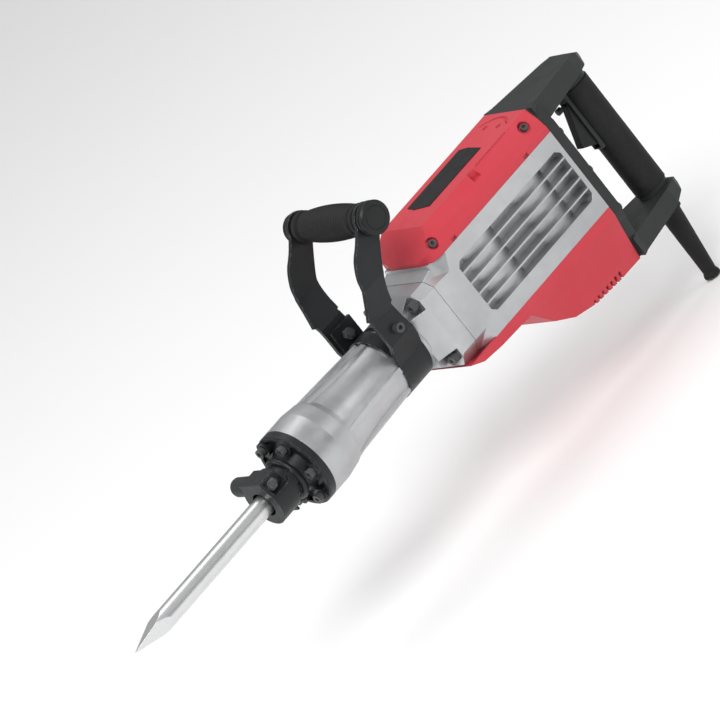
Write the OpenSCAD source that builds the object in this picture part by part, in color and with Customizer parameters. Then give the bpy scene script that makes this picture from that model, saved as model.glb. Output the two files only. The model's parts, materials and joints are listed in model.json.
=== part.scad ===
// Electric demolition hammer. X runs back along the tool axis from the holder's mouth,
// -X is the chisel's direction, Z is up towards the side handle and the long cover.

/* [Chisel and holder] */
// Width across the flats of the chisel's hexagonal shank
shank_af = 30; // [26:0.5:32]
// Diameter of the chisel's round bar
bar_d = 28; // [24:0.5:31]
// Length of chisel that stands out of the holder's mouth
chisel_reach = 262; // [150:1:400]
// Length of the ground point
point_l = 62; // [40:1:80]
// Length of shank behind the mouth
shank_l = 112; // [108:1:114]
// How far the chisel slides forward before the locking pin stops it
chisel_play = 28; // [10:1:30]
// Radius of the round part of the holder
holder_r = 32; // [30:0.5:34]
// Length of the nose, from the mouth to the front cover's flange
nose_l = 62; // [58:1:70]
// Diameter of the locking pin
lock_d = 18; // [16:0.5:19]
// How far the locking knob pulls out
knob_pull = 8; // [4:1:10]

/* [Barrel] */
// Radius of the barrel's front band and of the front cover
barrel_r = 57; // [54:0.5:64]
// Thickness of the front cover's flange
cover_t = 16; // [15:0.5:22]
// Length of the barrel, from the front cover to the square flange
barrel_l = 249; // [240:1:270]
// Radius of the barrel where the side handle is clamped
waist_r = 44.4; // [42:0.2:46]
// Number of bolts in the front cover
cover_bolts = 6; // [4:1:8]
// Bore of the cylinder
bore_d = 50; // [44:0.5:52]
// Wall of the cylinder sleeve
sleeve_wall = 4; // [3:0.5:5]

/* [Crank case] */
// Length of the crank case behind the square flange
case_l = 273; // [270:1:330]
// Width of the crank case
case_w = 123; // [122:1:150]
// Height of the crank case above the tool axis
case_up = 66; // [64:0.5:76]
// Depth of the crank case below the tool axis
case_down = 63; // [60:0.5:75]
// Thickness of the square flange
flange_t = 24; // [20:1:30]
// Height of the top cover above the crank case
cover_h = 40; // [38:0.5:50]
// Depth of the motor housing below the crank case
housing_h = 87; // [86:1:100]
// Wall of the plastic covers
shell_wall = 4; // [3:0.5:5]
// Number of fins across each side window
fin_count = 4; // [2:1:5]
// Thickness of a fin
fin_t = 2.6; // [1.5:0.1:4]

/* [Drive] */
// Crank radius, half the piston's stroke
crank_r = 20; // [15:0.5:21]
// Length of the connecting rod between its pins
rod_l = 90; // [85:1:95]
// Diameter of the wrist pin
wrist_d = 14; // [10:0.5:16]
// Module of the motor pinion and the wheel that it drives
fast_module = 2; // [1.8:0.1:2]
// Module of the second pair of gears
slow_module = 2.5; // [2.3:0.1:2.5]

/* [Rear handle] */
// Distance from the tail plate to the middle of the hand grip
grip_reach = 88; // [80:1:110]
// Radius of the rubber on the hand grip
grip_r = 19.5; // [18:0.5:20]
// How much deeper than wide the hand grip is
grip_flat = 10; // [8:0.5:12]
// Thickness of the tail plate
tail_t = 16; // [14:0.5:22]
// Half the width of the handle's legs
leg_half = 30; // [26:0.5:34]

/* [Side handle] */
// Height of the side grip above the tool axis
side_grip_z = 180; // [165:1:200]
// How far behind the clamp's middle the side grip stands
side_grip_back = 57; // [40:1:60]
// Half the distance between the insides of the two arms
arm_half = 73; // [70:0.5:90]
// Thickness of the steel straps
strap_t = 6; // [4:0.5:7]
// Width of the clamp along the barrel
clamp_w = 47; // [40:0.5:50]
// Largest radius of the side grip
side_grip_r = 24; // [20:0.5:26]
// Number of grooves round the side grip
grip_grooves = 28; // [16:1:34]

/* [Fits] */
// Gap round parts that slide or turn
running = 0.06; // [0.03:0.01:0.1]
// Gap between parts of different bodies that only pass each other
clear = 0.5; // [0.3:0.1:1]
// Backlash of each gear tooth
backlash = 0.25; // [0.15:0.05:0.4]

/* [Hidden] */
$fn = 72;

// Stations along the tool axis
cover_x = nose_l;
barrel_x = cover_x + cover_t;
flange_x = barrel_x + barrel_l;
case_x = flange_x + flange_t;
tail_x = case_x + case_l;
half_w = case_w / 2;
band_l = 32;
band_x = barrel_x + band_l;
clamp_gap = 1;
clamp_x = flange_x - 30 - clamp_w;
clamp_mid = clamp_x + clamp_w / 2;
collar_x = clamp_x + clamp_w + clear;

// Holder and shank
bush_x = 40;
bush_r = 24;
bush_end = barrel_x + 37;
lock_x = 20;
lock_z = lock_d / 2 + shank_af / 3;
notch_floor = lock_z - lock_d / 2 - clear;
block_half = 22.5;
bore_r = shank_af / cos(30) / 2 + clear;
lock_wall = -bore_r + 4.5;
tail_r = 4.4;
stub_r = 6;
knob_r = 12.8;

// Impact line
sleeve_r = bore_d / 2 + sleeve_wall;
guide_r = sleeve_r - 2;
damper_l = 8;
guide_x = bush_end + damper_l;
guide_end = guide_x + 70;
crank_x = case_x + 99;
piston_l = 45;
wrist_x = crank_x - crank_r - rod_l;
piston_x = wrist_x - 24;
sleeve_end = case_x + 50;
striker_l = 50;
striker_play = 40;
striker_x = piston_x - clear - striker_play - striker_l;
beat_r = 16;
beat_play = 6;
beat_head = 21;
beat_x = shank_l + beat_play + clear;
beat_end = striker_x - clear;

// Gear train on one line: crank, idler and motor
pressure = 25;
pinion_teeth = 11;
wheel_teeth = 41;
small_teeth = 12;
crank_teeth = 32;
idler_x = crank_x + slow_module * (crank_teeth + small_teeth) / 2;
motor_x = idler_x + fast_module * (pinion_teeth + wheel_teeth) / 2;
wheel_z = case_up - 19;
gear_z = case_up - 10;
gear_w = 7.5;
room_z = case_up - 21;
seat_z = room_z - 14;
shoulder = 5;
chamber_r = 46;
motor_r = 46;
hump_wall = 6;

// Crank parts
crank_shaft_r = 10;
web_r = 34;
web_z = 15;
web_t = 9;
rod_t = 14;
pin_gap = 0.6;
crank_pin_r = 9;

// Covers
window_in = 20;
window_x = case_x + 46;
window_end = tail_x - 7;
window_top = case_up - 23;
window_low = -case_down + 23;
window_nip = 7;
top_z = case_up + cover_h;
low_z = -case_down - housing_h;
top_half = half_w - 16;
cover_front = case_x + 19;
cover_corner = 17;

// Rear handle
tail_end = tail_x + tail_t;
grip_x = tail_end + grip_reach;
upper_z = case_up + 9;
lower_z = -case_down - 58;
tube_r = grip_r - 1.5;
tube_wall = 3;
trigger_half = 6.5;
pivot_x = grip_x - 18;
pivot_z = upper_z - 17;

// Side handle
grip_back_x = clamp_mid + side_grip_back;
arm_out = arm_half + strap_t;
ear_out = waist_r + 17.6;
bolt_z = waist_r + 3;
wrap_t = 2.6;
crease_z = side_grip_z - 62;

black = [0.13, 0.14, 0.14];
dark = [0.2, 0.21, 0.21];
silver = [0.75, 0.76, 0.77];
steel = [0.6, 0.61, 0.63];
red = [0.8, 0.22, 0.25];
copper = [0.72, 0.42, 0.22];

// Solid of revolution about the tool axis, from points [x, radius]
module turned(profile) {
    rotate([0, 90, 0])
        rotate_extrude($fn = 96)
            polygon([for (p = profile) [p[1], p[0]]]);
}

// Round bar along X from x0 to x1
module bar_x(x0, x1, r) {
    translate([x0, 0, 0])
        rotate([0, 90, 0])
            cylinder(h = x1 - x0, r = r);
}

// Round bar along Y from y0 to y1
module bar_y(y0, y1, r) {
    translate([0, y1, 0])
        rotate([90, 0, 0])
            cylinder(h = y1 - y0, r = r);
}

// Outline drawn in X and Z, as thick as y0 to y1
module side_plate(y0, y1, points) {
    translate([0, y1, 0])
        rotate([90, 0, 0])
            linear_extrude(y1 - y0)
                polygon(points);
}

// Outline drawn in Y and Z, as long as x0 to x1
module front_plate(x0, x1, points) {
    translate([x0, 0, 0])
        rotate([90, 0, 90])
            linear_extrude(x1 - x0)
                polygon(points);
}

// Y and Z outline mirrored to both sides, from its points with y above 0, top first
function both(points) = concat(points,
    [for (i = [len(points) - 1:-1:0]) [-points[i][0], points[i][1]]]);

// Plan outline mirrored to both sides, from its points with y above 0, front first
function both_x(points) = concat(points,
    [for (i = [len(points) - 1:-1:0]) [points[i][0], -points[i][1]]]);

// Smooth curve through points, with steps stretches between each two
function spline(a, b, c, d, t) = ((2 * b) + (c - a) * t + (2 * a - 5 * b + 4 * c - d) * t * t
    + (3 * b - a - 3 * c + d) * t * t * t) / 2;
function smooth(p, steps) = concat([for (i = [0:len(p) - 2], j = [0:steps - 1])
    spline(p[max(i - 1, 0)], p[i], p[i + 1], p[min(i + 2, len(p) - 1)], j / steps)], [p[len(p) - 1]]);

// Socket screw whose head points to -X and seats at x = 0
module cap_screw(d, head_d, head_h, length, socket) {
    difference() {
        union() {
            bar_x(-head_h, 0, head_d / 2);
            bar_x(-1, length, d / 2);
        }
        translate([-head_h - 1, 0, 0])
            rotate([0, 90, 0])
                cylinder(h = head_h / 2 + 1, d = socket, $fn = 6);
    }
}

// Ring about a vertical axis
module ring(z0, h, outer, inner) {
    translate([0, 0, z0])
        difference() {
            cylinder(h = h, r = outer);
            translate([0, 0, -1])
                cylinder(h = h + 2, r = inner);
        }
}

// Involute gear tooth flank: point at radius r on a base circle rb, turned by a0
function unroll(r, rb) = sqrt(max(0, r * r / (rb * rb) - 1)) * 180 / PI - acos(min(1, rb / r));
function flank(r, rb, a0) = [r * cos(a0 - unroll(r, rb)), r * sin(a0 - unroll(r, rb))];

// Spur gear outline with a tooth on the +X line
module gear_outline(module_size, teeth) {
    pitch_r = module_size * teeth / 2;
    base_r = pitch_r * cos(pressure);
    tip_r = pitch_r + 0.88 * module_size;
    root_r = pitch_r - 1.15 * module_size;
    half = 90 / teeth - backlash / 2 / pitch_r * 180 / PI + unroll(pitch_r, base_r);
    low_r = max(base_r, root_r);
    past_r = tip_r + 0.4;
    steps = 4;
    difference() {
        circle(r = tip_r, $fn = 120);
        for (i = [0:teeth - 1])
            rotate(360 / teeth * (i + 0.5))
                polygon(concat(
                    [for (s = [0:steps])
                        let (p = flank(low_r + (past_r - low_r) * s / steps, base_r, half),
                            a = 360 / teeth / 2)
                        [p[0] * cos(-a) - p[1] * sin(-a), p[0] * sin(-a) + p[1] * cos(-a)]],
                    [[tip_r + 2, -1.2 * module_size], [tip_r + 2, 1.2 * module_size]],
                    [for (s = [steps:-1:0])
                        let (p = flank(low_r + (past_r - low_r) * s / steps, base_r, half),
                            a = 360 / teeth / 2)
                        [p[0] * cos(a) + p[1] * sin(a), p[0] * sin(a) - p[1] * cos(a)]],
                    [[root_r, 0.35 * module_size], [root_r, -0.35 * module_size]]));
    }
}

// ---- Chisel and holder ----

module chisel() {
    tip_x = -chisel_reach;
    color(silver)
    difference() {
        union() {
            intersection() {
                bar_x(tip_x, 40, bar_d / 2);
                side_plate(-20, 20, [[tip_x, 0.5], [tip_x + point_l, bar_d / 2], [41, bar_d],
                    [41, -bar_d], [tip_x + point_l, -bar_d / 2], [tip_x, -0.5]]);
                rotate([90, 0, 0])
                    side_plate(-20, 20, [[tip_x, 0.5], [tip_x + point_l, bar_d / 2], [41, bar_d],
                        [41, -bar_d], [tip_x + point_l, -bar_d / 2], [tip_x, -0.5]]);
            }
            intersection() {
                translate([38, 0, 0])
                    rotate([0, 90, 0])
                        cylinder(h = shank_l - 38, d = shank_af / cos(30), $fn = 6);
                bar_x(37, shank_l, shank_af / 2 * 1.12);
            }
        }
        translate([lock_x - lock_d / 2 - clear, -30, notch_floor])
            cube([lock_d + chisel_play + 2 * clear, 60, 30]);
    }
}

module retainer_holder() {
    block_x = 4;
    block_l = 30;
    block_top = lock_z + 13;
    wall_y = lock_wall - 3;
    color(black)
    difference() {
        union() {
            bar_x(block_x, bush_x - 3, holder_r);
            translate([block_x, -block_half, 0])
                cube([block_l, 2 * block_half, block_top]);
            translate([bush_x - 6, -6, -holder_r - 5])
                cube([3, 12, 8]);
        }
        bar_x(block_x - 1, bush_x, bore_r);
        translate([lock_x, 0, lock_z]) {
            bar_y(lock_wall, block_half + 1, lock_d / 2 + running);
            bar_y(wall_y - 1, lock_wall + 1, tail_r + running);
        }
        translate([block_x + 5, wall_y - 30, lock_z - 10])
            cube([40, 30, 19.5]);
        translate([lock_x, 0, lock_z])
            bar_y(block_half, holder_r + 1, knob_r + 2 * clear);
    }
}

module retainer_collar() {
    color(dark)
    translate([lock_x, 0, lock_z])
        difference() {
            union() {
                bar_y(lock_wall - 5, lock_wall - 3, 9.4);
                translate([0, lock_wall - 5, 0])
                    rotate([90, 0, 0])
                        cylinder(h = 4, r = 8.6, $fn = 6);
                translate([0, lock_wall - 9, 0])
                    rotate([90, 0, 0])
                        cylinder(h = 1.5, r = 6.6, $fn = 6);
            }
            bar_y(lock_wall - 12, lock_wall, tail_r + running);
        }
}

module retainer_pin() {
    flat_z = lock_d / 2 - 5.5;
    color(steel)
    translate([lock_x, 0, lock_z])
        difference() {
            union() {
                bar_y(lock_wall + clear, block_half, lock_d / 2);
                bar_y(block_half - 1, block_half + 22, stub_r);
                bar_y(lock_wall - 10, lock_wall + 1, tail_r);
            }
            translate([-20, lock_wall, flat_z])
                cube([40, 17.5 - lock_wall, 20]);
        }
}

module retainer_knob() {
    color(black)
    translate([lock_x, block_half + clear, lock_z])
        rotate([-90, 0, 0])
            rotate_extrude()
                polygon([[stub_r + running, 0], [knob_r - 1.5, 0], [knob_r - 1.5, 3],
                    [knob_r, 4.5], [knob_r, 31], [knob_r - 1.2, 34.5], [knob_r - 4, 37],
                    [0, 38], [0, 23 + knob_pull / 4], [stub_r + running, 23 + knob_pull / 4]]);
}

module front_cover() {
    pitch_r = barrel_r - 11;
    boss_r = 10.5;
    color(black)
    difference() {
        union() {
            turned([[bush_x - 3, 0], [bush_x - 3, 26], [cover_x - 9, 26], [cover_x + 8, 36],
                [cover_x + 8, barrel_r - 7], [cover_x + 4, barrel_r - 6], [cover_x + 4, barrel_r - 1.5],
                [cover_x + 6, barrel_r], [barrel_x, barrel_r], [barrel_x, 0]]);
            translate([cover_x - 10, 0, 0])
                rotate([0, 90, 0])
                    rotate_extrude()
                        translate([28.5, 0])
                            circle(r = 4.6);
            for (i = [0:cover_bolts - 1])
                rotate([360 / cover_bolts * i + 90, 0, 0])
                    translate([0, 0, pitch_r])
                        bar_x(cover_x, cover_x + 10, boss_r);
            translate([bush_x + 6.5, -27, 7])
                rotate([90, 0, 0])
                    translate([0, 0, -6])
                        cylinder(h = 7.5, r = 9);
        }
        bar_x(bush_x - 4, barrel_x + 1, bush_r);
        for (i = [0:cover_bolts - 1])
            rotate([360 / cover_bolts * i + 90, 0, 0])
                translate([0, 0, pitch_r])
                    bar_x(cover_x - 1, barrel_x + 1, 4);
    }
}

module front_cover_bolts() {
    color(dark)
    for (i = [0:cover_bolts - 1])
        rotate([360 / cover_bolts * i + 90, 0, 0])
            translate([cover_x, 0, barrel_r - 11])
                cap_screw(8, 13, 8, 40, 7);
}

module tool_bush() {
    color(steel)
    difference() {
        bar_x(bush_x - 3, bush_end, bush_r);
        translate([bush_x - 4, 0, 0])
            rotate([0, 90, 0])
                cylinder(h = bush_end, d = (shank_af + 4 * running) / cos(30), $fn = 6);
        bar_x(shank_l + clear / 2, bush_end + 1, beat_r + 3);
    }
}

module damper_ring() {
    color(black)
    turned([[bush_end, beat_r + 2], [bush_end, guide_r], [guide_x, guide_r], [guide_x, beat_r + 2]]);
}

module beat_guide() {
    color(steel)
    turned([[guide_x, beat_r + running], [guide_x, guide_r], [guide_end, guide_r],
        [guide_end, beat_r + running]]);
}

module beat_piece() {
    color(silver)
    turned([[beat_x, 0], [beat_x, beat_r - 2], [beat_x + 4, beat_r],
        [guide_end + beat_play + clear, beat_r], [guide_end + beat_play + clear, beat_head],
        [beat_end - 6, beat_head], [beat_end, beat_r], [beat_end, 0]]);
}

// ---- Barrel and impact mechanism ----

// Radius of the barrel behind its front band, along the concave waist
function waist(t) = waist_r + (barrel_r - 4.5 - waist_r) * pow(1 - t, 2);

rib_x = band_x + 22;
rib_end = clamp_x - clamp_gap;
rib_angles = [0, 180, 77, 103, -46, -134];

module rib(angle) {
    crest_front = barrel_r - 4;
    crest_rear = waist_r + 3.2;
    rotate([angle, 0, 0])
        intersection() {
            rotate([-90, 0, 0])
                side_plate(-8, 8, [[rib_x, 20 + waist_r / 2], [rib_x, crest_front],
                    [rib_end, crest_rear], [rib_end, 20 + waist_r / 2]]);
            front_plate(rib_x - 1, rib_end + 1, [[waist_r - 4, -6.5], [crest_front + 1, -2],
                [crest_front + 1, 2], [waist_r - 4, 6.5]]);
        }
}

flange_outline = both([[half_w - 15, case_up - 10], [half_w, case_up - 20],
    [half_w, -case_down + 19], [half_w - 15, -case_down]]);
seam = 1;
relief = 7;
case_bolt_y = half_w - 13.2;
case_bolt_z = [case_up - 22, -case_down + 19];
head_seat = flange_x - 3;
notch_in = 11;

module cylinder_case() {
    steps = 14;
    color(silver)
    difference() {
        union() {
            turned(concat([[barrel_x, 0], [barrel_x, barrel_r], [band_x, barrel_r],
                    [rib_x, barrel_r - 3.2]],
                [for (i = [1:steps])
                    [rib_x + (clamp_x - 10 - rib_x) * i / steps, waist(i / steps)]],
                [[collar_x, waist_r], [collar_x, waist_r + 3], [collar_x + 5, waist_r + 3],
                    [collar_x + 9, waist_r - 0.5], [flange_x, waist_r - 0.5], [flange_x, 0]]));
            for (a = rib_angles)
                rib(a);
            intersection() {
                front_plate(collar_x + 3, case_x, flange_outline);
                linear_extrude(2 * case_w, center = true)
                    polygon([[collar_x + 3, waist_r - 1], [flange_x, half_w], [case_x, half_w],
                        [case_x, -half_w], [flange_x, -half_w], [collar_x + 3, 1 - waist_r]]);
                side_plate(-half_w, half_w, [[collar_x + 3, waist_r - 1], [flange_x, case_up - 10],
                    [case_x, case_up - 10], [case_x, -case_down], [flange_x, -case_down],
                    [collar_x + 3, 1 - waist_r]]);
            }
        }
        bar_x(barrel_x - 1, bush_end, bush_r);
        bar_x(bush_end, guide_end, guide_r);
        bar_x(guide_end, case_x + 1, sleeve_r);
        bar_x(guide_end + 15, flange_x - 8, sleeve_r + relief);
        for (y = [-1, 1], z = case_bolt_z)
            translate([0, y * case_bolt_y, z]) {
                translate([collar_x, y > 0 ? -notch_in : -40, z > 0 ? -notch_in : -40])
                    cube([head_seat - collar_x, 40 + notch_in, 40 + notch_in]);
                bar_x(head_seat - 1, case_x + 1, 4);
            }
        for (i = [0:cover_bolts - 1])
            rotate([360 / cover_bolts * i + 90, 0, 0])
                translate([0, 0, barrel_r - 11])
                    bar_x(barrel_x - 1, cover_x + 40, 4);
    }
}

module case_bolts() {
    color(dark)
    for (y = [-1, 1], z = case_bolt_z)
        translate([head_seat, y * case_bolt_y, z])
            cap_screw(8, 14, 12, flange_t + 20, 7);
}

module cylinder_sleeve() {
    color(steel)
    turned([[guide_end, bore_d / 2], [guide_end, sleeve_r], [sleeve_end, sleeve_r],
        [sleeve_end, bore_d / 2]]);
}

// Groove for a ring round the striker or the piston
ring_w = 5;
ring_in = 3;

module grooved_piston(x0, length, groove_x) {
    r = bore_d / 2 - running;
    turned([[x0, 0], [x0, r - 1], [x0 + 1, r], [groove_x, r], [groove_x, r - ring_in],
        [groove_x + ring_w, r - ring_in], [groove_x + ring_w, r], [x0 + length - 1, r],
        [x0 + length, r - 1], [x0 + length, 0]]);
}

module packing_ring(groove_x) {
    r = bore_d / 2 - running;
    turned([[groove_x, r - ring_in], [groove_x, r], [groove_x + ring_w, r],
        [groove_x + ring_w, r - ring_in]]);
}

module striker() {
    color(steel)
        grooved_piston(striker_x, striker_l, striker_x + 30);
}

module striker_ring() {
    color(black)
        packing_ring(striker_x + 30);
}

module piston() {
    color(silver)
    difference() {
        grooved_piston(piston_x, piston_l, piston_x + 5);
        translate([wrist_x - 13, -30, -rod_t / 2 - 1])
            cube([60, 60, rod_t + 2]);
        translate([wrist_x, 0, -40])
            cylinder(h = 80, d = wrist_d);
    }
}

module piston_ring() {
    color(black)
        packing_ring(piston_x + 5);
}

module wrist_pin() {
    color(steel)
    translate([wrist_x, 0, -bore_d / 2 + 5])
        cylinder(h = bore_d - 10, d = wrist_d);
}

module connecting_rod() {
    eye_r = 12;
    big_r = 15;
    big_x = crank_x - crank_r;
    color(steel)
    difference() {
        union() {
            translate([wrist_x, 0, -rod_t / 2])
                cylinder(h = rod_t, r = eye_r);
            translate([big_x, 0, -rod_t / 2])
                cylinder(h = rod_t, r = big_r);
            translate([wrist_x, -8, -rod_t / 2 + 2])
                cube([rod_l, 16, rod_t - 4]);
        }
        translate([wrist_x, 0, -20])
            cylinder(h = 40, d = wrist_d + 2 * running);
        translate([big_x, 0, -20])
            cylinder(h = 40, r = crank_pin_r + running);
    }
}

// ---- Drive ----

module crankshaft() {
    color(steel)
    translate([crank_x, 0, 0]) {
        translate([0, 0, web_z])
            cylinder(h = web_t, r = web_r);
        translate([0, 0, web_z + web_t - 1])
            cylinder(h = case_up + 10 - web_z - web_t + 1, r = crank_shaft_r);
        translate([-crank_r, 0, rod_t / 2 + pin_gap])
            cylinder(h = web_z - rod_t / 2, r = crank_pin_r);
    }
}

module crank_gear() {
    color(steel)
    translate([crank_x, 0, gear_z])
        linear_extrude(gear_w)
            difference() {
                gear_outline(slow_module, crank_teeth);
                circle(r = crank_shaft_r);
            }
}

module crank_bearings() {
    color(silver)
    translate([crank_x, 0, 0]) {
        ring(seat_z + 1, 12, 21, crank_shaft_r + running);
        ring(case_up, 10, 21, crank_shaft_r + running);
    }
}

module idler_shaft() {
    color(steel)
    translate([idler_x, 0, 0]) {
        translate([0, 0, seat_z + 4 + clear])
            cylinder(h = case_up + 8 - seat_z - 4 - clear, r = 8);
        translate([0, 0, gear_z])
            linear_extrude(gear_w + 1)
                rotate(180 / small_teeth)
                    gear_outline(slow_module, small_teeth);
    }
}

module idler_gear() {
    color(steel)
    translate([idler_x, 0, wheel_z])
        linear_extrude(gear_w)
            difference() {
                gear_outline(fast_module, wheel_teeth);
                circle(r = 8);
            }
}

module idler_bearings() {
    color(silver)
    translate([idler_x, 0, 0]) {
        ring(seat_z + 4, 9, 15, 8 + running);
        ring(case_up, 8, 15, 8 + running);
    }
}

comm_z = -case_down - 27;
low_bearing_z = comm_z - 24;
holder_y = 17;
holder_l = 28;
brush_w = 8;
brush_h = 12;

module armature() {
    color(steel)
    translate([motor_x, 0, 0]) {
        translate([0, 0, low_bearing_z])
            cylinder(h = wheel_z + gear_w + 2 - low_bearing_z, r = 6);
        translate([0, 0, -56])
            cylinder(h = 50, r = 26);
        translate([0, 0, wheel_z - 0.5])
            linear_extrude(gear_w + 1)
                gear_outline(fast_module, pinion_teeth);
    }
}

module commutator() {
    color(copper)
    translate([motor_x, 0, 0])
        ring(comm_z, 22, 15, 6);
}

module fan() {
    blades = 9;
    color(dark)
    translate([motor_x, 0, 0]) {
        ring(4, 3, 40, 6);
        ring(6.5, 11, 10, 6);
        for (i = [0:blades - 1])
            rotate(360 / blades * i)
                translate([9, -1, 6.5])
                    cube([30, 2, 11]);
    }
}

module motor_bearings() {
    color(silver)
    translate([motor_x, 0, 0]) {
        ring(seat_z, 11, 17, 6 + running);
        ring(low_bearing_z, 11, 17, 6 + running);
    }
}

module stator_core() {
    color(steel)
    translate([motor_x, 0, 0])
        ring(-56, 50, motor_r, 27);
}

module stator_coils() {
    color(copper)
    translate([motor_x, 0, 0])
        for (z = [-64, -6])
            ring(z, 8, 41, 29);
}

module brush_holders() {
    color(black)
    for (s = [-1, 1])
        translate([motor_x, s * (holder_y + holder_l / 2), comm_z + 11])
            difference() {
                cube([14, holder_l, 18], center = true);
                cube([brush_w, holder_l + 2, brush_h], center = true);
            }
}

module brushes() {
    color(dark)
    for (s = [-1, 1])
        translate([motor_x, s * (15 + running + 9), comm_z + 11])
            cube([brush_w, 18, brush_h], center = true);
}

// ---- Crank case and covers ----

// Everything beyond the plane through p whose outward normal is n
module beyond(p, n) {
    translate(p)
        rotate([0, acos(n[2] / norm(n)), atan2(n[1], n[0])])
            translate([-100, -100, 0])
                cube([200, 200, 60]);
}

// The casting's outer block. At each front corner its facets meet the square flange:
// two run back from the flange's chamfer, and one closes the corner behind them.
module case_block() {
    lip = 5;
    difference() {
        side_plate(-half_w, half_w, [[case_x, case_up - 10], [cover_front - 1, case_up - lip],
            [cover_front - 1, case_up], [tail_x, case_up], [tail_x, -case_down], [case_x, -case_down]]);
        for (s = [-1, 1]) {
            intersection() {
                beyond([case_x, s * half_w, case_up - 20], [2, s * 22, 33]);
                beyond([case_x, s * (half_w - 15), case_up - 10], [-18, s * 61, 26]);
                beyond([cover_front + 4, s * (half_w - 12.5), case_up], [-28, s * 48, 15]);
            }
            intersection() {
                beyond([case_x, s * half_w, -case_down + 19], [0, s * 19, -15]);
                beyond([case_x + 23, s * half_w, -case_down + 21], [-23, s * 31, -5]);
            }
        }
    }
}

window_outline = [[window_x + window_nip, window_top], [window_end - window_nip, window_top],
    [window_end, window_top - window_nip], [window_end, window_low + window_nip],
    [window_end - window_nip, window_low], [window_x + window_nip, window_low],
    [window_x, window_low + window_nip], [window_x, window_top - window_nip]];

module crank_case() {
    fin_pitch = (window_top - window_low) / (fin_count + 0.75);
    window_mid = (window_top + window_low) / 2;
    floor_y = half_w - window_in;
    color(silver)
    difference() {
        union() {
            difference() {
                case_block();
                for (s = [-1, 1])
                    side_plate(s > 0 ? floor_y : -half_w - 1, s > 0 ? half_w + 1 : -floor_y,
                        window_outline);
            }
            intersection() {
                side_plate(-half_w, half_w, window_outline);
                union() {
                    for (x = [crank_x, motor_x])
                        translate([x, 0, -case_down])
                            cylinder(h = case_up + case_down, r = chamber_r + hump_wall);
                    for (i = [0:fin_count - 1])
                        translate([window_x - 1, -half_w + 0.6,
                            window_mid + (i - (fin_count - 1) / 2) * fin_pitch - fin_t / 2])
                            cube([window_end - window_x + 2, case_w - 1.2, fin_t]);
                }
            }
        }
        difference() {
            front_plate(case_x - 1, case_x + seam, [for (p = flange_outline) 1.2 * p]);
            front_plate(case_x - 2, case_x + 2 * seam, [for (p = flange_outline) (1 - seam / half_w) * p]);
        }
        translate([crank_x, 0, -case_down - 1])
            cylinder(h = case_down + 1 + seat_z - shoulder, r = chamber_r);
        translate([motor_x, 0, -case_down - 1])
            cylinder(h = case_down + 1 + seat_z - 4, r = motor_r);
        bar_x(case_x - 1, crank_x, sleeve_r);
        for (x = [crank_x, idler_x, motor_x])
            translate([x, 0, room_z])
                cylinder(h = 30, r = 46);
        translate([crank_x, 0, seat_z + 1])
            cylinder(h = 14, r = 21);
        translate([crank_x, 0, 0])
            cylinder(h = seat_z + 2, r = crank_shaft_r + 1);
        translate([idler_x, 0, seat_z + 4])
            cylinder(h = 30, r = 15);
        translate([motor_x, 0, seat_z - 5])
            cylinder(h = 16, r = 17);
        translate([motor_x, 0, seat_z])
            cylinder(h = 30, r = 14);
        for (y = [-1, 1], z = case_bolt_z)
            translate([0, y * case_bolt_y, z])
                bar_x(case_x - 1, head_seat + flange_t + 20, 4);
        at_foot_screws()
            cylinder(h = -case_down + 14 - foot_screw_z, d = screw_d);
    }
}

module crank_cover() {
    color(silver)
    translate([crank_x, 0, -case_down])
        cylinder(h = 5, r = chamber_r);
}

module gear_cover() {
    color(silver)
    difference() {
        union() {
            side_plate(-50, 50, [[crank_x - 50, case_up], [motor_x + 50, case_up],
                [motor_x + 50, case_up + 4], [crank_x - 50, case_up + 4]]);
            translate([crank_x, 0, case_up])
                cylinder(h = 14, r = 26);
            translate([idler_x, 0, case_up])
                cylinder(h = 12, r = 20);
        }
        translate([crank_x, 0, case_up - 1])
            cylinder(h = 12, r = 21);
        translate([idler_x, 0, case_up - 1])
            cylinder(h = 10.5, r = 15);
    }
}

// Cross-section of the top cover, drawn a wall's thickness inside when in is set
function top_section(in) = both([[top_half - in, top_z - in], [half_w - 5 - in, top_z - 18],
    [half_w - in, case_up + 8], [half_w - in, case_up - (in > 0 ? 1 : 0)]]);

screw_x = case_x + 40;
rear_screw_x = tail_x - 22;

screw_head_r = 5;
recess_r = 8.5;
screw_d = 5;

// The cover's front screws stand on its side facets, the rear ones on its shoulders
module at_cover_screws() {
    for (s = [-1, 1]) {
        translate([screw_x, s * (half_w - 1), top_z - 20])
            rotate([s * -68, 0, 0])
                children();
        translate([rear_screw_x, s * (top_half + 10), top_z - 9.5])
            rotate([s * -38, 0, 0])
                children();
    }
}

module top_cover_outside() {
    intersection() {
        front_plate(cover_front, tail_x, top_section(0));
        side_plate(-half_w, half_w, [[cover_front, case_up], [cover_front, case_up + 5],
            [case_x + 50, top_z], [tail_x, top_z], [tail_x, case_up]]);
        linear_extrude(200)
            polygon(both_x(concat([[cover_front, half_w / 2]],
                [for (a = [0:15:90])
                    [cover_front + 4 + cover_corner * (1 - cos(a)), half_w - cover_corner * (1 - sin(a))]],
                [[tail_x, half_w]])));
    }
}

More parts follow.
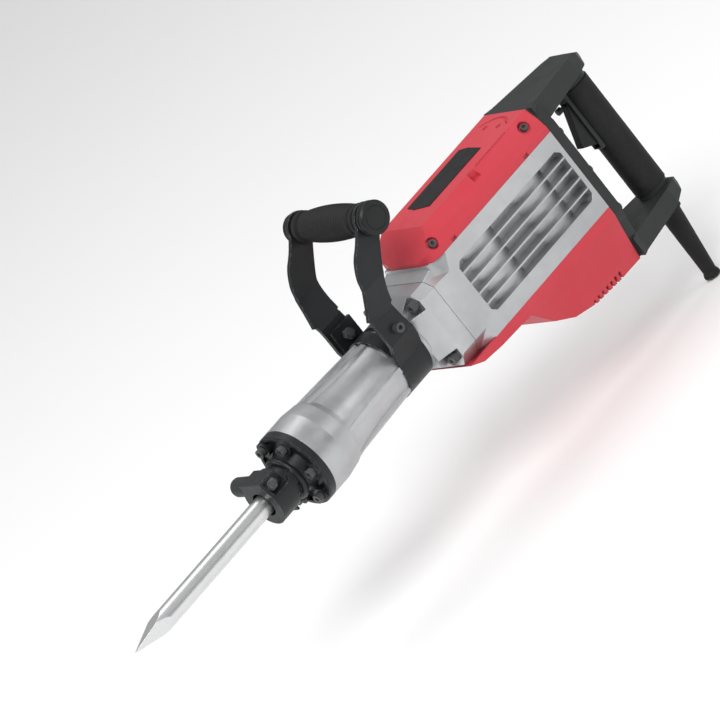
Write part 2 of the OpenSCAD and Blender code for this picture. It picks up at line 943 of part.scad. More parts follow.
module top_cover() {
    recess_x = case_x + 153;
    arc_x = tail_x - 49;
    arc_r = 39;
    groove_l = 31;
    color(red)
    difference() {
        union() {
            difference() {
                top_cover_outside();
                intersection() {
                    front_plate(case_x + 34, tail_x - shell_wall, top_section(shell_wall));
                    side_plate(-half_w, half_w, [[case_x + 34, case_up - 1],
                        [case_x + 34, case_up + 8], [case_x + 60, top_z - shell_wall],
                        [tail_x, top_z - shell_wall], [tail_x, case_up - 1]]);
                }
            }
            intersection() {
                top_cover_outside();
                union() {
                    at_cover_screws()
                        translate([0, 0, -22])
                            cylinder(h = 30, r = recess_r + 2.5);
                    translate([recess_x, -top_half - 5, top_z - 15])
                        cylinder(h = 20, r = 9.5);
                }
            }
        }
        at_cover_screws() {
            translate([0, 0, -8])
                cylinder(h = 20, r = recess_r);
            translate([0, 0, -30])
                cylinder(h = 30, d = screw_d + 2 * running);
        }
        translate([recess_x, -top_half - 5, top_z - 12])
            cylinder(h = 20, r = 7);
        for (x = [recess_x + 12, recess_x + 45])
            translate([x, -top_half - 1.2, top_z - 1.8])
                cube([groove_l, 2.4, 4]);
        difference() {
            translate([arc_x, 0, top_z - 2])
                cylinder(h = 4, r = arc_r + 2);
            translate([arc_x, 0, top_z - 3])
                cylinder(h = 6, r = arc_r - 2);
            translate([arc_x - 60, -60, top_z - 3])
                cube([84, 120, 6]);
        }
        for (s = [-1, 1]) {
            translate([arc_x + 21, s * 15, top_z - 2.5])
                cylinder(h = 4, r = 4);
            for (x = [cover_front + 44, cover_front + 200])
                translate([x, s > 0 ? half_w - 2.5 : -half_w - 1, case_up - 1])
                    cube([8, 3.5, 6]);
        }
    }
}

module cover_screws() {
    color(dark)
    at_cover_screws()
        difference() {
            union() {
                translate([0, 0, -8])
                    cylinder(h = 6, r = screw_head_r);
                translate([0, 0, -21])
                    cylinder(h = 14, d = screw_d);
            }
            translate([0, 0, -5])
                cylinder(h = 8, d = 5.8, $fn = 6);
        }
}

module label_plate() {
    label_l = 111;
    label_half = 25;
    bow = 4;
    color(black)
    translate([case_x + 91, 5, top_z])
        linear_extrude(0.8)
            polygon([[0, -label_half], [label_l, -label_half], [label_l + bow, label_half / 3],
                [label_l + 1, label_half], [0, label_half], [-bow, label_half / 4]]);
}

// Cross-section of the motor housing below the crank case
function low_section(in) = both([[half_w - in, -case_down], [half_w - in, -case_down - 14 + in / 2],
    [half_w - 5 - in, -case_down - 31], [half_w - 17 - in, low_z + in]]);

housing_front = flange_x - 4;
bulge_x = case_x + 86;

module housing_profile(in) {
    side_plate(-half_w, half_w, [[housing_front + in, -case_down + (in > 0 ? -0.01 : 0)],
        [housing_front + 20 + in, -case_down - 10 + in], [housing_front + 54 + in, -case_down - 14 + in],
        [bulge_x + in, -case_down - 17 + in], [bulge_x + 28 + in, -case_down - 52 + in],
        [bulge_x + 57 + in / 2, -case_down - 71 + in], [bulge_x + 96, -case_down - 82 + in],
        [bulge_x + 142, low_z + 1 + in], [tail_x - in, low_z + in], [tail_x - in, -case_down + 0.01 * in]]);
}

foot_screw_z = low_bearing_z;

// Long screws that hold the housing up to the crank case
module at_foot_screws() {
    for (s = [-1, 1], x = [bulge_x + 76, tail_x - 20])
        translate([x, s * (half_w - 26), foot_screw_z])
            children();
}

module motor_housing() {
    slots = 7;
    slot_pitch = 9;
    pad_y = holder_y + holder_l;
    color(red)
    difference() {
        intersection() {
            front_plate(housing_front, tail_x, low_section(0));
            housing_profile(0);
        }
        difference() {
            intersection() {
                front_plate(housing_front, tail_x - shell_wall, low_section(shell_wall));
                housing_profile(shell_wall);
            }
            translate([motor_x, 0, low_z])
                cylinder(h = low_bearing_z + 10 - low_z, r = 24);
            at_foot_screws()
                translate([0, 0, -20])
                    cylinder(h = 100, r = recess_r + 2.5);
            for (s = [-1, 1])
                translate([motor_x - 8, s > 0 ? pad_y : -pad_y - 20, comm_z + 1])
                    cube([16, 20, 20]);
        }
        translate([motor_x, 0, low_bearing_z])
            cylinder(h = 20, r = 17);
        translate([motor_x, 0, low_bearing_z - 3])
            cylinder(h = 20, r = 10);
        at_foot_screws() {
            translate([0, 0, -60])
                cylinder(h = 60, r = recess_r);
            translate([0, 0, -1])
                cylinder(h = 100, d = screw_d);
        }
        for (s = [-1, 1], i = [0:slots - 1])
            translate([bulge_x + 92 + slot_pitch * i, s * (half_w - 17) - 7, low_z - 1])
                cube([3.5, 14, 12]);
    }
}

module housing_screws() {
    color(dark)
    at_foot_screws() {
        translate([0, 0, -5])
            cylinder(h = 5, r = screw_head_r);
        translate([0, 0, -1])
            cylinder(h = -case_down + 15 - foot_screw_z, d = screw_d);
    }
}

// ---- Rear handle ----

module rear_housing() {
    color(black)
    difference() {
        union() {
            front_plate(tail_x, tail_end, both([[top_half - 2, top_z - 2], [half_w - 7, top_z - 19],
                [half_w - 2, case_up + 6], [half_w - 2, -case_down - 14], [half_w - 8, -case_down - 31],
                [half_w - 19, low_z + 1]]));
            intersection() {
                side_plate(-half_w, half_w, [[tail_x + 4, top_z - 2], [grip_x + 14, top_z - 6],
                    [grip_x + 27, top_z - 14], [grip_x + 32, upper_z + 12], [grip_x + 24, upper_z],
                    [tail_end, upper_z - 3], [tail_x + 4, upper_z - 3]]);
                linear_extrude(300)
                    leg_plan();
            }
            intersection() {
                side_plate(-half_w, half_w, [[tail_x + 4, lower_z], [grip_x + 24, lower_z],
                    [grip_x + 31, lower_z - 5], [grip_x + 33, lower_z - 12], [grip_x + 24, lower_z - 19],
                    [grip_x - 8, lower_z - 27], [tail_end, low_z + 1], [tail_x + 4, low_z + 1]]);
                translate([0, 0, -300])
                    linear_extrude(300)
                        leg_plan();
            }
        }
        translate([grip_x, 0, lower_z - 4])
            linear_extrude(upper_z - lower_z + 6)
                oval(tube_r);
        translate([grip_x, 0, lower_z - 50])
            cylinder(h = 80, r = 7);
        translate([grip_x, 0, sleeve_top])
            rotate([0, sleeve_lean, 0])
                translate([0, 0, -30])
                    cylinder(h = 30, r = sleeve_head_r);
        for (s = [-1, 1], z = tail_bolt_z)
            translate([tail_x - 1, s * (half_w - 14), z])
                bar_x(0, tail_t + 2, 3);
    }
}

module leg_plan() {
    polygon([[tail_x + 4, half_w - 8], [tail_end, half_w - 14], [grip_x, leg_half],
        [grip_x + 20, leg_half - 8], [grip_x + 30, leg_half - 20],
        [grip_x + 30, 20 - leg_half], [grip_x + 20, 8 - leg_half], [grip_x, -leg_half],
        [tail_end, 14 - half_w], [tail_x + 4, 8 - half_w]]);
}

sleeve_top = lower_z - 23;
sleeve_lean = 4;
sleeve_head_r = 18;
tail_bolt_z = [case_up - 15, -14, -case_down - 15];

module tail_bolts() {
    color(dark)
    for (s = [-1, 1], z = tail_bolt_z)
        translate([tail_end, s * (half_w - 14), z]) {
            bar_x(-tail_t, 1, 3);
            rotate([0, 90, 0])
                intersection() {
                    sphere(r = 7.5);
                    cylinder(h = 10, r = 7);
                }
        }
}

// Outline of the hand grip: a flat-sided oval that is longer in X
module oval(r) {
    for (s = [-1, 1])
        translate([s * grip_flat / 2, 0])
            circle(r = r);
    square([grip_flat, 2 * r], center = true);
}

slot_low = pivot_z - 82;
slot_high = upper_z - 8;

module trigger_slot(half) {
    translate([grip_x - 60, -half, slot_low])
        cube([48, 2 * half, slot_high - slot_low]);
}

module grip_tube() {
    color(black)
    difference() {
        union() {
            translate([grip_x, 0, lower_z - 4])
                linear_extrude(upper_z - lower_z + 6)
                    oval(tube_r);
            translate([grip_x - 27, -10, slot_low - 2])
                cube([20, 20, slot_high - slot_low + 6]);
        }
        translate([grip_x, 0, lower_z - 8])
            linear_extrude(upper_z - lower_z + 20)
                oval(tube_r - tube_wall);
        trigger_slot(trigger_half + clear);
        translate([pivot_x, 0, pivot_z])
            bar_y(-20, 20, 2.5);
    }
}

module grip_sleeve() {
    color(black)
    difference() {
        translate([grip_x, 0, lower_z + 8])
            linear_extrude(upper_z - lower_z - 20)
                oval(grip_r);
        translate([grip_x, 0, lower_z])
            linear_extrude(upper_z - lower_z + 20)
                oval(tube_r);
        translate([grip_x - 60, -10 - clear, slot_low - 2 - clear])
            cube([53, 20 + 2 * clear, 200]);
    }
}

module switch_box() {
    color(dark)
    translate([grip_x - 5, -9, slot_low + 6])
        cube([22, 18, 62]);
}

module trigger() {
    color(black)
    difference() {
        side_plate(-trigger_half, trigger_half, [[grip_x - 23, pivot_z + 5], [grip_x - 31, pivot_z - 14],
            [grip_x - 49, pivot_z - 64], [grip_x - 28, pivot_z - 75], [grip_x - 20, pivot_z - 75],
            [grip_x - 15, pivot_z - 40], [grip_x - 13, pivot_z + 5]]);
        translate([pivot_x, 0, pivot_z])
            bar_y(-20, 20, 2.5 + running);
        translate([0, 0, pivot_z - 8])
            bar_x(grip_x - 50, grip_x - 17, 2 + running);
    }
}

module trigger_pin() {
    color(steel)
    translate([pivot_x, 0, pivot_z])
        bar_y(-10, 10, 2.5);
}

module lock_button() {
    color(black)
    translate([0, 0, pivot_z - 8])
        union() {
            bar_x(grip_x - 42, grip_x - 22, 2);
            bar_x(grip_x - 43, grip_x - 36, 4.5);
        }
}

module cord_sleeve() {
    length = 118;
    color(black)
    translate([grip_x, 0, sleeve_top])
        rotate([0, sleeve_lean, 0])
            rotate_extrude()
                polygon([[5, 0], [5, -length], [11.5, -length], [11.5, -length + 3],
                    [9.5, -length + 8], [15, -14], [sleeve_head_r, -12], [sleeve_head_r, 0]]);
}

// ---- Side handle ----

// Side view of an arm, leaning back to the grip, with its foot down to z0
module arm_outline(z0) {
    front = [[grip_back_x - 22, side_grip_z + 2], [grip_back_x - 36, side_grip_z - 12],
        [grip_back_x - 53, side_grip_z - 26], [clamp_mid - 8, crease_z + 18],
        [clamp_mid - 13, crease_z + 2], [clamp_mid - 21, crease_z - 20],
        [clamp_mid - 28, crease_z - 37]];
    rear = [[clamp_mid + 18, crease_z - 40], [clamp_mid + 20, crease_z - 21],
        [clamp_mid + 26, crease_z - 1], [grip_back_x - 17, side_grip_z - 43],
        [grip_back_x + 2, side_grip_z - 20]];
    union() {
        translate([grip_back_x, side_grip_z])
            circle(r = 22);
        polygon(concat(smooth(front, 4), [[clamp_mid - 24.5, crease_z - 38],
            [clamp_x, crease_z - 58], [clamp_x, z0], [clamp_x + clamp_w, z0],
            [clamp_x + clamp_w, 20], [clamp_mid + 18, 50], [clamp_mid + 15, crease_z - 41]],
            smooth(rear, 4)));
    }
}

// YZ path of the near arm's strap, from its top to the clamp
function arm_path(s) = [[s * arm_out, side_grip_z + 23], [s * arm_out, crease_z],
    [s * ear_out, crease_z - 46], [s * ear_out, waist_r - 10], [s * (waist_r + wrap_t), 3],
    [s * (waist_r + running), 3], [s * (waist_r + running), 8], [s * (ear_out - strap_t), waist_r - 9],
    [s * (ear_out - strap_t), crease_z - 45], [s * arm_half, crease_z + 1],
    [s * arm_half, side_grip_z + 23]];

module arm(s, z0) {
    difference() {
        intersection() {
            front_plate(clamp_x - 20, grip_back_x + 30, arm_path(s));
            translate([0, 100, 0])
                rotate([90, 0, 0])
                    linear_extrude(200)
                        arm_outline(z0);
        }
        translate([grip_back_x, 0, side_grip_z])
            bar_y(-100, 100, 6);
        translate([clamp_mid, 0, bolt_z])
            bar_y(-100, 100, 4);
        bar_x(clamp_x - 1, clamp_x + clamp_w + 1, waist_r + running);
    }
}

module clamp_strap() {
    color(black)
    union() {
        arm(-1, 0);
        difference() {
            bar_x(clamp_x, clamp_x + clamp_w, waist_r + wrap_t);
            bar_x(clamp_x - 1, clamp_x + clamp_w + 1, waist_r + running);
            translate([clamp_x - 1, -100, 3])
                cube([clamp_w + 2, 200, 100]);
        }
    }
}

module far_arm() {
    color(black)
        arm(1, 3);
}

module clamp_saddle() {
    ear_in = ear_out - 2 * strap_t;
    color(black)
    difference() {
        union() {
            difference() {
                bar_x(clamp_x, clamp_x + clamp_w, waist_r + strap_t - 1);
                translate([clamp_x - 1, -100, -100])
                    cube([clamp_w + 2, 200, 100 + waist_r / 2]);
            }
            for (s = [-1, 1])
                front_plate(clamp_x + 4, clamp_x + clamp_w - 4, [[s * (ear_out - strap_t), bolt_z + 16],
                    [s * ear_in, bolt_z + 16], [s * ear_in, waist_r - 13],
                    [s * (waist_r - 6), waist_r / 2], [s * (ear_out - strap_t - 7), waist_r / 2],
                    [s * (ear_out - strap_t), waist_r - 9]]);
        }
        bar_x(clamp_x - 1, clamp_x + clamp_w + 1, waist_r + running);
        translate([clamp_mid, 0, bolt_z])
            bar_y(-100, 100, 4);
    }
}

module handle_bolts() {
    color(dark)
    for (s = [-1, 1])
        translate([clamp_mid, 0, bolt_z])
            rotate([0, 0, s * 90])
                translate([-ear_out, 0, 0])
                    cap_screw(8, 13, 9, 2 * strap_t + 9, 7);
}

module handle_nuts() {
    color(dark)
    for (s = [-1, 1])
        translate([clamp_mid, s * (ear_out - 2 * strap_t), bolt_z])
            rotate([s * 90, 0, 0])
                difference() {
                    cylinder(h = 7, r = 8, $fn = 6);
                    translate([0, 0, -1])
                        cylinder(h = 9, r = 4);
                }
}

module side_grip() {
    length = 2 * arm_half;
    groove_l = length - 44;
    pitch = groove_l / grip_grooves;
    color(black)
    translate([grip_back_x, -arm_half, side_grip_z])
        rotate([-90, 0, 0])
            rotate_extrude()
                polygon(concat([[6, 0], [18, 0], [18, 4], [21, 5], [21, 11], [17, 13], [17, 17], [20, 19]],
                    [for (i = [0:grip_grooves - 1], h = [0, 1])
                        let (t = (i + h / 2 + 0.25) / grip_grooves)
                        [side_grip_r - 3.5 * pow(2 * t - 1, 2) - h * 0.9, 22 + groove_l * t]],
                    [[20, length - 19], [17, length - 17], [17, length - 13], [21, length - 11],
                        [21, length - 5], [18, length - 4], [18, length], [6, length]]));
}

// End cap of the side grip with its stub, from its radius and thickness
module grip_cap(r, h) {
    rotate_extrude()
        polygon([[0, -40], [6, -40], [6, 0], [r - 3.5, 0], [r - 3.5, 0.2 * h], [r, 0.25 * h],
            [r, 0.46 * h], [r - 2, 0.52 * h], [r - 2, 0.58 * h], [r, 0.64 * h], [r, 0.87 * h],
            [r - 2, h], [r - 7, h], [r - 7.5, h - 1], [r - 8, h + 0.2], [0, h + 0.2]]);
}

module grip_caps() {
    color(black) {
        translate([grip_back_x, -arm_out, side_grip_z])
            rotate([90, 0, 0])
                grip_cap(22.5, 16);
        translate([grip_back_x, arm_out, side_grip_z])
            rotate([-90, 0, 0])
                grip_cap(19.5, 11);
    }
}

chisel();
retainer_holder();
retainer_pin();
retainer_knob();
retainer_collar();
front_cover();
front_cover_bolts();
tool_bush();
damper_ring();
beat_guide();
beat_piece();
cylinder_case();
case_bolts();
cylinder_sleeve();
striker();
striker_ring();
piston();
piston_ring();
wrist_pin();
connecting_rod();
crankshaft();
crank_gear();
crank_bearings();
crank_case();
crank_cover();
gear_cover();
idler_shaft();
idler_gear();
idler_bearings();
armature();
commutator();
fan();
motor_bearings();
stator_core();
stator_coils();
brush_holders();
brushes();
motor_housing();
housing_screws();
top_cover();
cover_screws();
label_plate();
rear_housing();
tail_bolts();
grip_tube();
grip_sleeve();
switch_box();
trigger();
trigger_pin();
lock_button();
cord_sleeve();
clamp_strap();
far_arm();
clamp_saddle();
handle_bolts();
handle_nuts();
side_grip();
grip_caps();
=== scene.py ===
import json
import math

import bmesh
import bpy
from mathutils import Matrix, Vector


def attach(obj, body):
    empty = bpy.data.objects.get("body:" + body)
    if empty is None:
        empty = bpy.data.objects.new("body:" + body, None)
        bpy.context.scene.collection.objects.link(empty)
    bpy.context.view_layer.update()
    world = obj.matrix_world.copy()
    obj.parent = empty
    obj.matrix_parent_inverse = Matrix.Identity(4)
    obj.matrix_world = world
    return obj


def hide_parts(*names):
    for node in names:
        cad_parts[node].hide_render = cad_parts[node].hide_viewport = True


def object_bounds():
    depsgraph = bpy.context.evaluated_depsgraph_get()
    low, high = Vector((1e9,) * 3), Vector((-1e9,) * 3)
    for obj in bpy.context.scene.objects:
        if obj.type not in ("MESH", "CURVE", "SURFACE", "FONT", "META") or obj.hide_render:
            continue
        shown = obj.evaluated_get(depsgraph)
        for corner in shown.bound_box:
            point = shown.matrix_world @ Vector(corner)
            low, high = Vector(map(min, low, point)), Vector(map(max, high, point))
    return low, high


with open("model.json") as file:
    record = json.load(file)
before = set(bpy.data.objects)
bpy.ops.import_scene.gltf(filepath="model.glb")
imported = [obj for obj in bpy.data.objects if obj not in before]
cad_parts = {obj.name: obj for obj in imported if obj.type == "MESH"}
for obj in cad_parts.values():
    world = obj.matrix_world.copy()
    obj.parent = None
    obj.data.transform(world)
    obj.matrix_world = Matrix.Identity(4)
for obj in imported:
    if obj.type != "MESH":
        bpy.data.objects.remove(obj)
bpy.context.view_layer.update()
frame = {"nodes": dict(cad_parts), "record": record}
nodes = frame["nodes"]
scene = bpy.context.scene

# ---- Camera: the photograph's angle, 28 degrees round towards the chisel, tilted on its side ----
AZ, EL, ROLL = math.radians(-28.0), math.radians(19.7), math.radians(38.7)
DISTANCE = 10.0
back = Vector((math.sin(AZ) * math.cos(EL), -math.cos(AZ) * math.cos(EL), math.sin(EL)))
level = Vector((math.cos(AZ), math.sin(AZ), 0.0))
upright = back.cross(level)
image_x = level * math.cos(ROLL) - upright * math.sin(ROLL)
image_y = level * math.sin(ROLL) + upright * math.cos(ROLL)
aim = Vector((0.079, 0.0, 0.0)) + image_x * 0.075 + image_y * 0.130

camera_data = bpy.data.cameras.new("camera")
camera_data.lens = 400.0
camera_data.sensor_width = 36.0
camera_data.clip_start = 0.1
camera_data.clip_end = 200.0
camera = bpy.data.objects.new("camera", camera_data)
scene.collection.objects.link(camera)
camera.matrix_world = Matrix.Translation(aim + back * DISTANCE) @ Matrix(
    (image_x, image_y, back)).transposed().to_4x4()
scene.camera = camera
scene.view_settings.view_transform = "Standard"

# ---- Floor and light ----
FLOOR_GAP = 0.002
floor_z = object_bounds()[0].z - FLOOR_GAP


def mesh_object(name, mesh):
    item = bpy.data.objects.new(name, mesh)
    scene.collection.objects.link(item)
    return item


FLOOR_HALF = 60.0
floor_mesh = bpy.data.meshes.new("floor")
floor_mesh.from_pydata(
    [(x * FLOOR_HALF, y * FLOOR_HALF, floor_z) for x, y in ((-1, -1), (1, -1), (1, 1), (-1, 1))],
    [], [(0, 1, 2, 3)])
floor = mesh_object("floor", floor_mesh)


def area_light(name, where, size, power, target=(0.25, 0.0, 0.0)):
    data = bpy.data.lights.new(name, "AREA")
    data.shape = "RECTANGLE"
    data.size, data.size_y = size
    data.energy = power
    item = bpy.data.objects.new(name, data)
    scene.collection.objects.link(item)
    item.location = where
    item.rotation_mode = "QUATERNION"
    item.rotation_quaternion = (Vector(target) - Vector(where)).to_track_quat("-Z", "Y")


# name, place, size in metres, power in watts
for setup in (("key", (-1.2, -2.4, 3.4), (1.8, 1.8), 112),
              ("fill", (3.2, -2.6, 1.4), (2.0, 2.0), 18),
              ("top", (0.6, 0.6, 3.6), (2.4, 2.4), 40),
              ("rim", (-2.8, 2.2, 1.8), (1.4, 1.4), 26)):
    area_light(*setup)

# The sky is grey at the horizon and bright overhead, so that metal shows its curves
world = bpy.data.worlds.new("studio")
scene.world = world
world.use_nodes = True
background = world.node_tree.nodes["Background"]
sky = world.node_tree.nodes.new("ShaderNodeTexCoord")
height = world.node_tree.nodes.new("ShaderNodeSeparateXYZ")
shade = world.node_tree.nodes.new("ShaderNodeMapRange")
for key, value in (("From Min", -0.05), ("From Max", 0.75), ("To Min", 0.28), ("To Max", 0.52)):
    shade.inputs[key].default_value = value
world.node_tree.links.new(sky.outputs["Generated"], height.inputs[0])
world.node_tree.links.new(height.outputs["Z"], shade.inputs["Value"])
world.node_tree.links.new(shade.outputs["Result"], background.inputs["Strength"])
background.inputs["Color"].default_value = (1.0, 1.0, 1.0, 1.0)


# ---- Materials ----
class Shader:
    """One procedural material: a Principled shader and the nodes that feed it."""

    def __init__(self, name, roughness=0.5, metallic=0.0):
        self.material = bpy.data.materials.new(name)
        self.material.use_nodes = True
        self.tree = self.material.node_tree
        self.bsdf = self.tree.nodes["Principled BSDF"]
        self.bsdf.inputs["Roughness"].default_value = roughness
        self.bsdf.inputs["Metallic"].default_value = metallic
        self.coords = self.tree.nodes.new("ShaderNodeTexCoord").outputs["Object"]
        self.normal = None

    def add(self, kind, **inputs):
        item = self.tree.nodes.new(kind)
        for key, value in inputs.items():
            self.feed(item, key.replace("_", " "), value)
        return item

    def feed(self, item, key, value):
        if isinstance(value, bpy.types.NodeSocket):
            self.tree.links.new(value, item.inputs[key])
        else:
            item.inputs[key].default_value = value

    def stretched(self, scale):
        item = self.add("ShaderNodeMapping", Vector=self.coords)
        item.inputs["Scale"].default_value = scale
        return item.outputs["Vector"]

    def noise(self, scale, detail=3.0, roughness=0.55, vector=None):
        item = self.add("ShaderNodeTexNoise", Vector=vector or self.coords, Scale=scale, Detail=detail,
                        Roughness=roughness)
        return item.outputs["Fac"]

    def cells(self, scale, vector=None):
        item = self.add("ShaderNodeTexVoronoi", Vector=vector or self.coords, Scale=scale)
        return item.outputs["Distance"]

    def ramp(self, source, low, high, a=0.0, b=1.0):
        item = self.add("ShaderNodeMapRange", Value=source)
        item.inputs["From Min"].default_value = low
        item.inputs["From Max"].default_value = high
        item.inputs["To Min"].default_value = a
        item.inputs["To Max"].default_value = b
        return item.outputs["Result"]

    def math(self, operation, a, b=0.0):
        item = self.tree.nodes.new("ShaderNodeMath")
        item.operation = operation
        self.feed(item, 0, a)
        self.feed(item, 1, b)
        return item.outputs["Value"]

    def mix(self, factor, a, b):
        item = self.tree.nodes.new("ShaderNodeMix")
        item.data_type = "RGBA"
        self.feed(item, 0, factor)
        for index, value in ((6, a), (7, b)):
            self.feed(item, index, (*value, 1.0) if isinstance(value, tuple) else value)
        return item.outputs[2]

    def rounded(self, radius):
        """Rounds the sharp edges in the shading, and returns how close each point is to an edge."""
        item = self.tree.nodes.new("ShaderNodeBevel")
        item.samples = 4
        item.inputs["Radius"].default_value = radius
        self.normal = item.outputs["Normal"]
        geometry = self.tree.nodes.new("ShaderNodeNewGeometry")
        dot = self.tree.nodes.new("ShaderNodeVectorMath")
        dot.operation = "DOT_PRODUCT"
        self.feed(dot, 0, item.outputs["Normal"])
        self.feed(dot, 1, geometry.outputs["Normal"])
        return self.ramp(dot.outputs["Value"], 0.995, 0.85)

    def bump(self, height, distance, strength=1.0):
        item = self.add("ShaderNodeBump", Height=height, Distance=distance, Strength=strength)
        if self.normal is not None:
            self.feed(item, "Normal", self.normal)
        self.normal = item.outputs["Normal"]

    def done(self, color=None, roughness=None):
        if color is not None:
            self.feed(self.bsdf, "Base Color", color)
        if roughness is not None:
            self.feed(self.bsdf, "Roughness", roughness)
        if self.normal is not None:
            self.feed(self.bsdf, "Normal", self.normal)
        return self.material


def plastic(name, color, worn, grain=1400.0, roughness=0.42, depth=0.00006, edge=0.0009):
    s = Shader(name, roughness)
    s.bsdf.inputs["Specular IOR Level"].default_value = 0.28
    edges = s.rounded(edge)
    patches = s.noise(14.0, 4.0)
    scuffs = s.noise(90.0, 5.0, 0.7)
    base = s.mix(s.ramp(patches, 0.3, 0.7, 0.0, 0.35), color, worn)
    base = s.mix(s.math("MULTIPLY", edges, s.ramp(scuffs, 0.35, 0.65, 0.05, 0.55)), base, worn)
    s.bump(s.cells(grain), depth, 0.6)
    s.bump(scuffs, 0.0001, 0.12)
    rough = s.ramp(s.noise(40.0, 4.0), 0.3, 0.7, roughness - 0.06, roughness + 0.08)
    return s.done(base, rough)


def painted_metal(name, color, bare, roughness=0.36):
    s = Shader(name, roughness)
    s.bsdf.inputs["Specular IOR Level"].default_value = 0.3
    edges = s.rounded(0.0007)
    chips = s.noise(160.0, 6.0, 0.7)
    patches = s.noise(22.0, 3.0)
    lighter = tuple(min(1.0, c * 1.5 + 0.004) for c in color)
    base = s.mix(s.ramp(patches, 0.3, 0.7, 0.0, 0.5), color, lighter)
    base = s.mix(s.math("MULTIPLY", edges, s.ramp(chips, 0.48, 0.62)), base, bare)
    s.bump(s.noise(1200.0, 2.0), 0.00005, 0.5)
    s.bump(s.noise(180.0, 2.0), 0.00012, 0.3)
    return s.done(base, s.ramp(chips, 0.3, 0.7, roughness - 0.08, roughness + 0.12))


def cast_metal(name, color, dark, roughness=0.42):
    s = Shader(name, roughness, 0.82)
    edges = s.rounded(0.0008)
    blast = s.noise(900.0, 3.0, 0.7)
    patches = s.noise(11.0, 5.0, 0.6)
    base = s.mix(s.ramp(patches, 0.32, 0.68), color, dark)
    base = s.mix(s.math("MULTIPLY", edges, 0.5), base, tuple(min(1.0, c * 1.18) for c in color))
    base = s.mix(s.ramp(blast, 0.55, 0.8, 0.0, 0.25), base, dark)
    s.bump(blast, 0.00012, 0.5)
    s.bump(s.noise(140.0, 3.0), 0.0002, 0.2)
    return s.done(base, s.ramp(s.noise(60.0, 3.0), 0.3, 0.7, roughness - 0.07, roughness + 0.08))


def machined(name, color, dark, roughness=0.28, along=(6.0, 420.0, 420.0)):
    s = Shader(name, roughness, 0.95)
    edges = s.rounded(0.0005)
    lines = s.noise(6.0, 5.0, 0.75, s.stretched(along))
    stains = s.noise(26.0, 5.0, 0.65)
    base = s.mix(s.ramp(lines, 0.3, 0.7, 0.0, 0.55), color, dark)
    base = s.mix(s.ramp(stains, 0.52, 0.75, 0.0, 0.5), base, dark)
    base = s.mix(s.math("MULTIPLY", edges, 0.5), base, (0.92, 0.92, 0.93))
    s.bump(lines, 0.00006, 0.5)
    return s.done(base, s.ramp(lines, 0.3, 0.7, roughness - 0.06, roughness + 0.12))


def rubber(name, color=(0.009, 0.009, 0.0095), roughness=0.62):
    s = Shader(name, roughness)
    s.bsdf.inputs["Specular IOR Level"].default_value = 0.28
    edges = s.rounded(0.0009)
    dust = s.noise(70.0, 6.0, 0.7)
    base = s.mix(s.ramp(dust, 0.45, 0.75, 0.0, 0.5), color, tuple(c * 1.9 + 0.012 for c in color))
    base = s.mix(s.math("MULTIPLY", edges, 0.35), base, tuple(c * 2.4 + 0.02 for c in color))
    s.bump(s.cells(1700.0), 0.00007, 0.6)
    return s.done(base, s.ramp(dust, 0.3, 0.7, roughness - 0.05, roughness + 0.12))


def gloss(name, color):
    s = Shader(name, 0.4)
    s.bsdf.inputs["Specular IOR Level"].default_value = 0.2
    s.rounded(0.0004)
    streaks = s.noise(60.0, 4.0)
    s.bump(s.noise(35.0, 2.0), 0.0001, 0.15)
    return s.done(s.mix(s.ramp(streaks, 0.3, 0.7, 0.0, 0.3), color, tuple(c * 1.6 for c in color)),
                  s.ramp(streaks, 0.3, 0.7, 0.34, 0.46))


def winding(name):
    s = Shader(name, 0.35, 0.7)
    s.rounded(0.0006)
    wires = s.noise(5.0, 4.0, 0.6, s.stretched((30.0, 30.0, 900.0)))
    s.bump(wires, 0.0003, 0.8)
    return s.done(s.mix(wires, (0.55, 0.22, 0.08), (0.8, 0.42, 0.2)), s.ramp(wires, 0.3, 0.7, 0.25, 0.45))


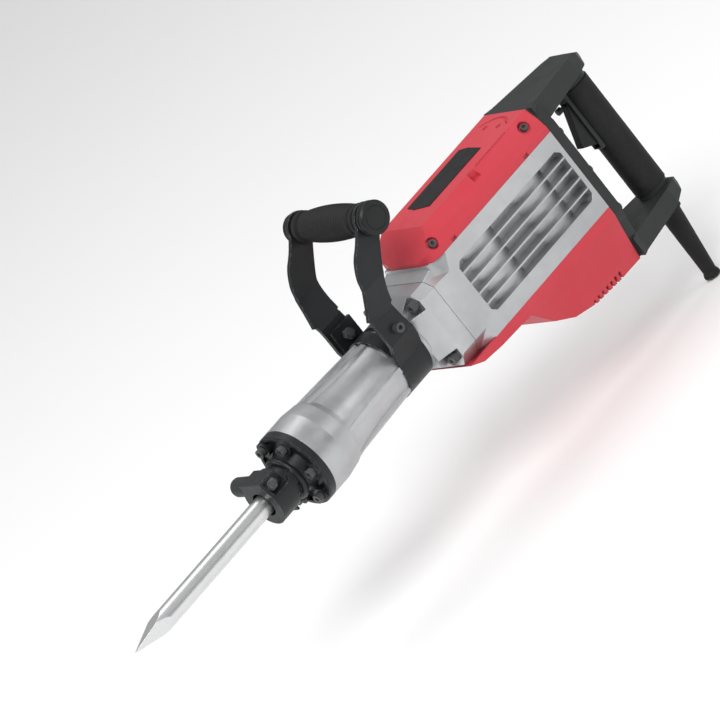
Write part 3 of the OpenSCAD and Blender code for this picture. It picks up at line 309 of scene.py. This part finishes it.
finish = {
    "red": plastic("red_plastic", (0.56, 0.042, 0.060), (0.60, 0.075, 0.095), edge=0.0026),
    "grey": plastic("grey_plastic", (0.024, 0.026, 0.026), (0.042, 0.045, 0.045),
                    roughness=0.5, edge=0.0016),
    "blackplastic": plastic("black_plastic", (0.009, 0.010, 0.010), (0.026, 0.028, 0.028),
                            roughness=0.40, edge=0.0014),
    "alu": cast_metal("cast_aluminium", (0.54, 0.55, 0.56), (0.42, 0.43, 0.44), 0.36),
    "iron": cast_metal("laminated_iron", (0.33, 0.33, 0.34), (0.22, 0.22, 0.23), 0.5),
    "bright": machined("forged_steel", (0.74, 0.745, 0.75), (0.50, 0.505, 0.51), 0.26),
    "steel": machined("ground_steel", (0.60, 0.61, 0.63), (0.45, 0.45, 0.47), 0.24),
    "blackmetal": painted_metal("black_paint", (0.009, 0.011, 0.012), (0.35, 0.35, 0.36)),
    "darkscrew": painted_metal("black_oxide", (0.055, 0.055, 0.056), (0.5, 0.5, 0.51), 0.3),
    "rubber": rubber("black_rubber"),
    "label": gloss("label_film", (0.008, 0.008, 0.009)),
    "copper": winding("varnished_copper"),
}
slots = {sub["node"]: sub["material_slot"] for sub in frame["record"]["subparts"]}
slots["retainer_pin"] = "darkscrew"  # only its blackened tail shows
for name, item in nodes.items():
    item.data.materials.clear()
    item.data.materials.append(finish[slots[name]])

paper = Shader("floor_paper", 0.9)
paper.bump(paper.noise(220.0, 2.0), 0.0002, 0.1)
floor.data.materials.append(
    paper.done(paper.mix(paper.noise(1.5, 2.0), (0.93, 0.93, 0.93), (0.95, 0.95, 0.95))))


# ---- Real rounded edges on the moulded covers ----
BEVEL_WIDTH = 0.0028
BEVEL_STEPS = 4
SHARP = math.radians(24.0)
FLAT = math.radians(1.0)
SAME_POINT = 0.00002


def softened(node):
    """A copy of one of the hammer's nodes with its sharp edges bevelled inwards, in place of the node."""
    mesh = nodes[node].data.copy()
    work = bmesh.new()
    work.from_mesh(mesh)
    bmesh.ops.remove_doubles(work, verts=work.verts, dist=SAME_POINT)
    bmesh.ops.dissolve_limit(work, angle_limit=FLAT, verts=work.verts, edges=work.edges)
    for face in work.faces:
        face.smooth = False
    work.to_mesh(mesh)
    work.free()
    piece = mesh_object(node + "_soft", mesh)
    piece.matrix_world = nodes[node].matrix_world.copy()
    bevel = piece.modifiers.new("bevel", "BEVEL")
    bevel.width = BEVEL_WIDTH
    bevel.segments = BEVEL_STEPS
    bevel.limit_method = "ANGLE"
    bevel.angle_limit = SHARP
    bevel.miter_outer = "MITER_ARC"
    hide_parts(node)
    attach(piece, "hammer")


for node in ("top_cover", "motor_housing"):
    softened(node)
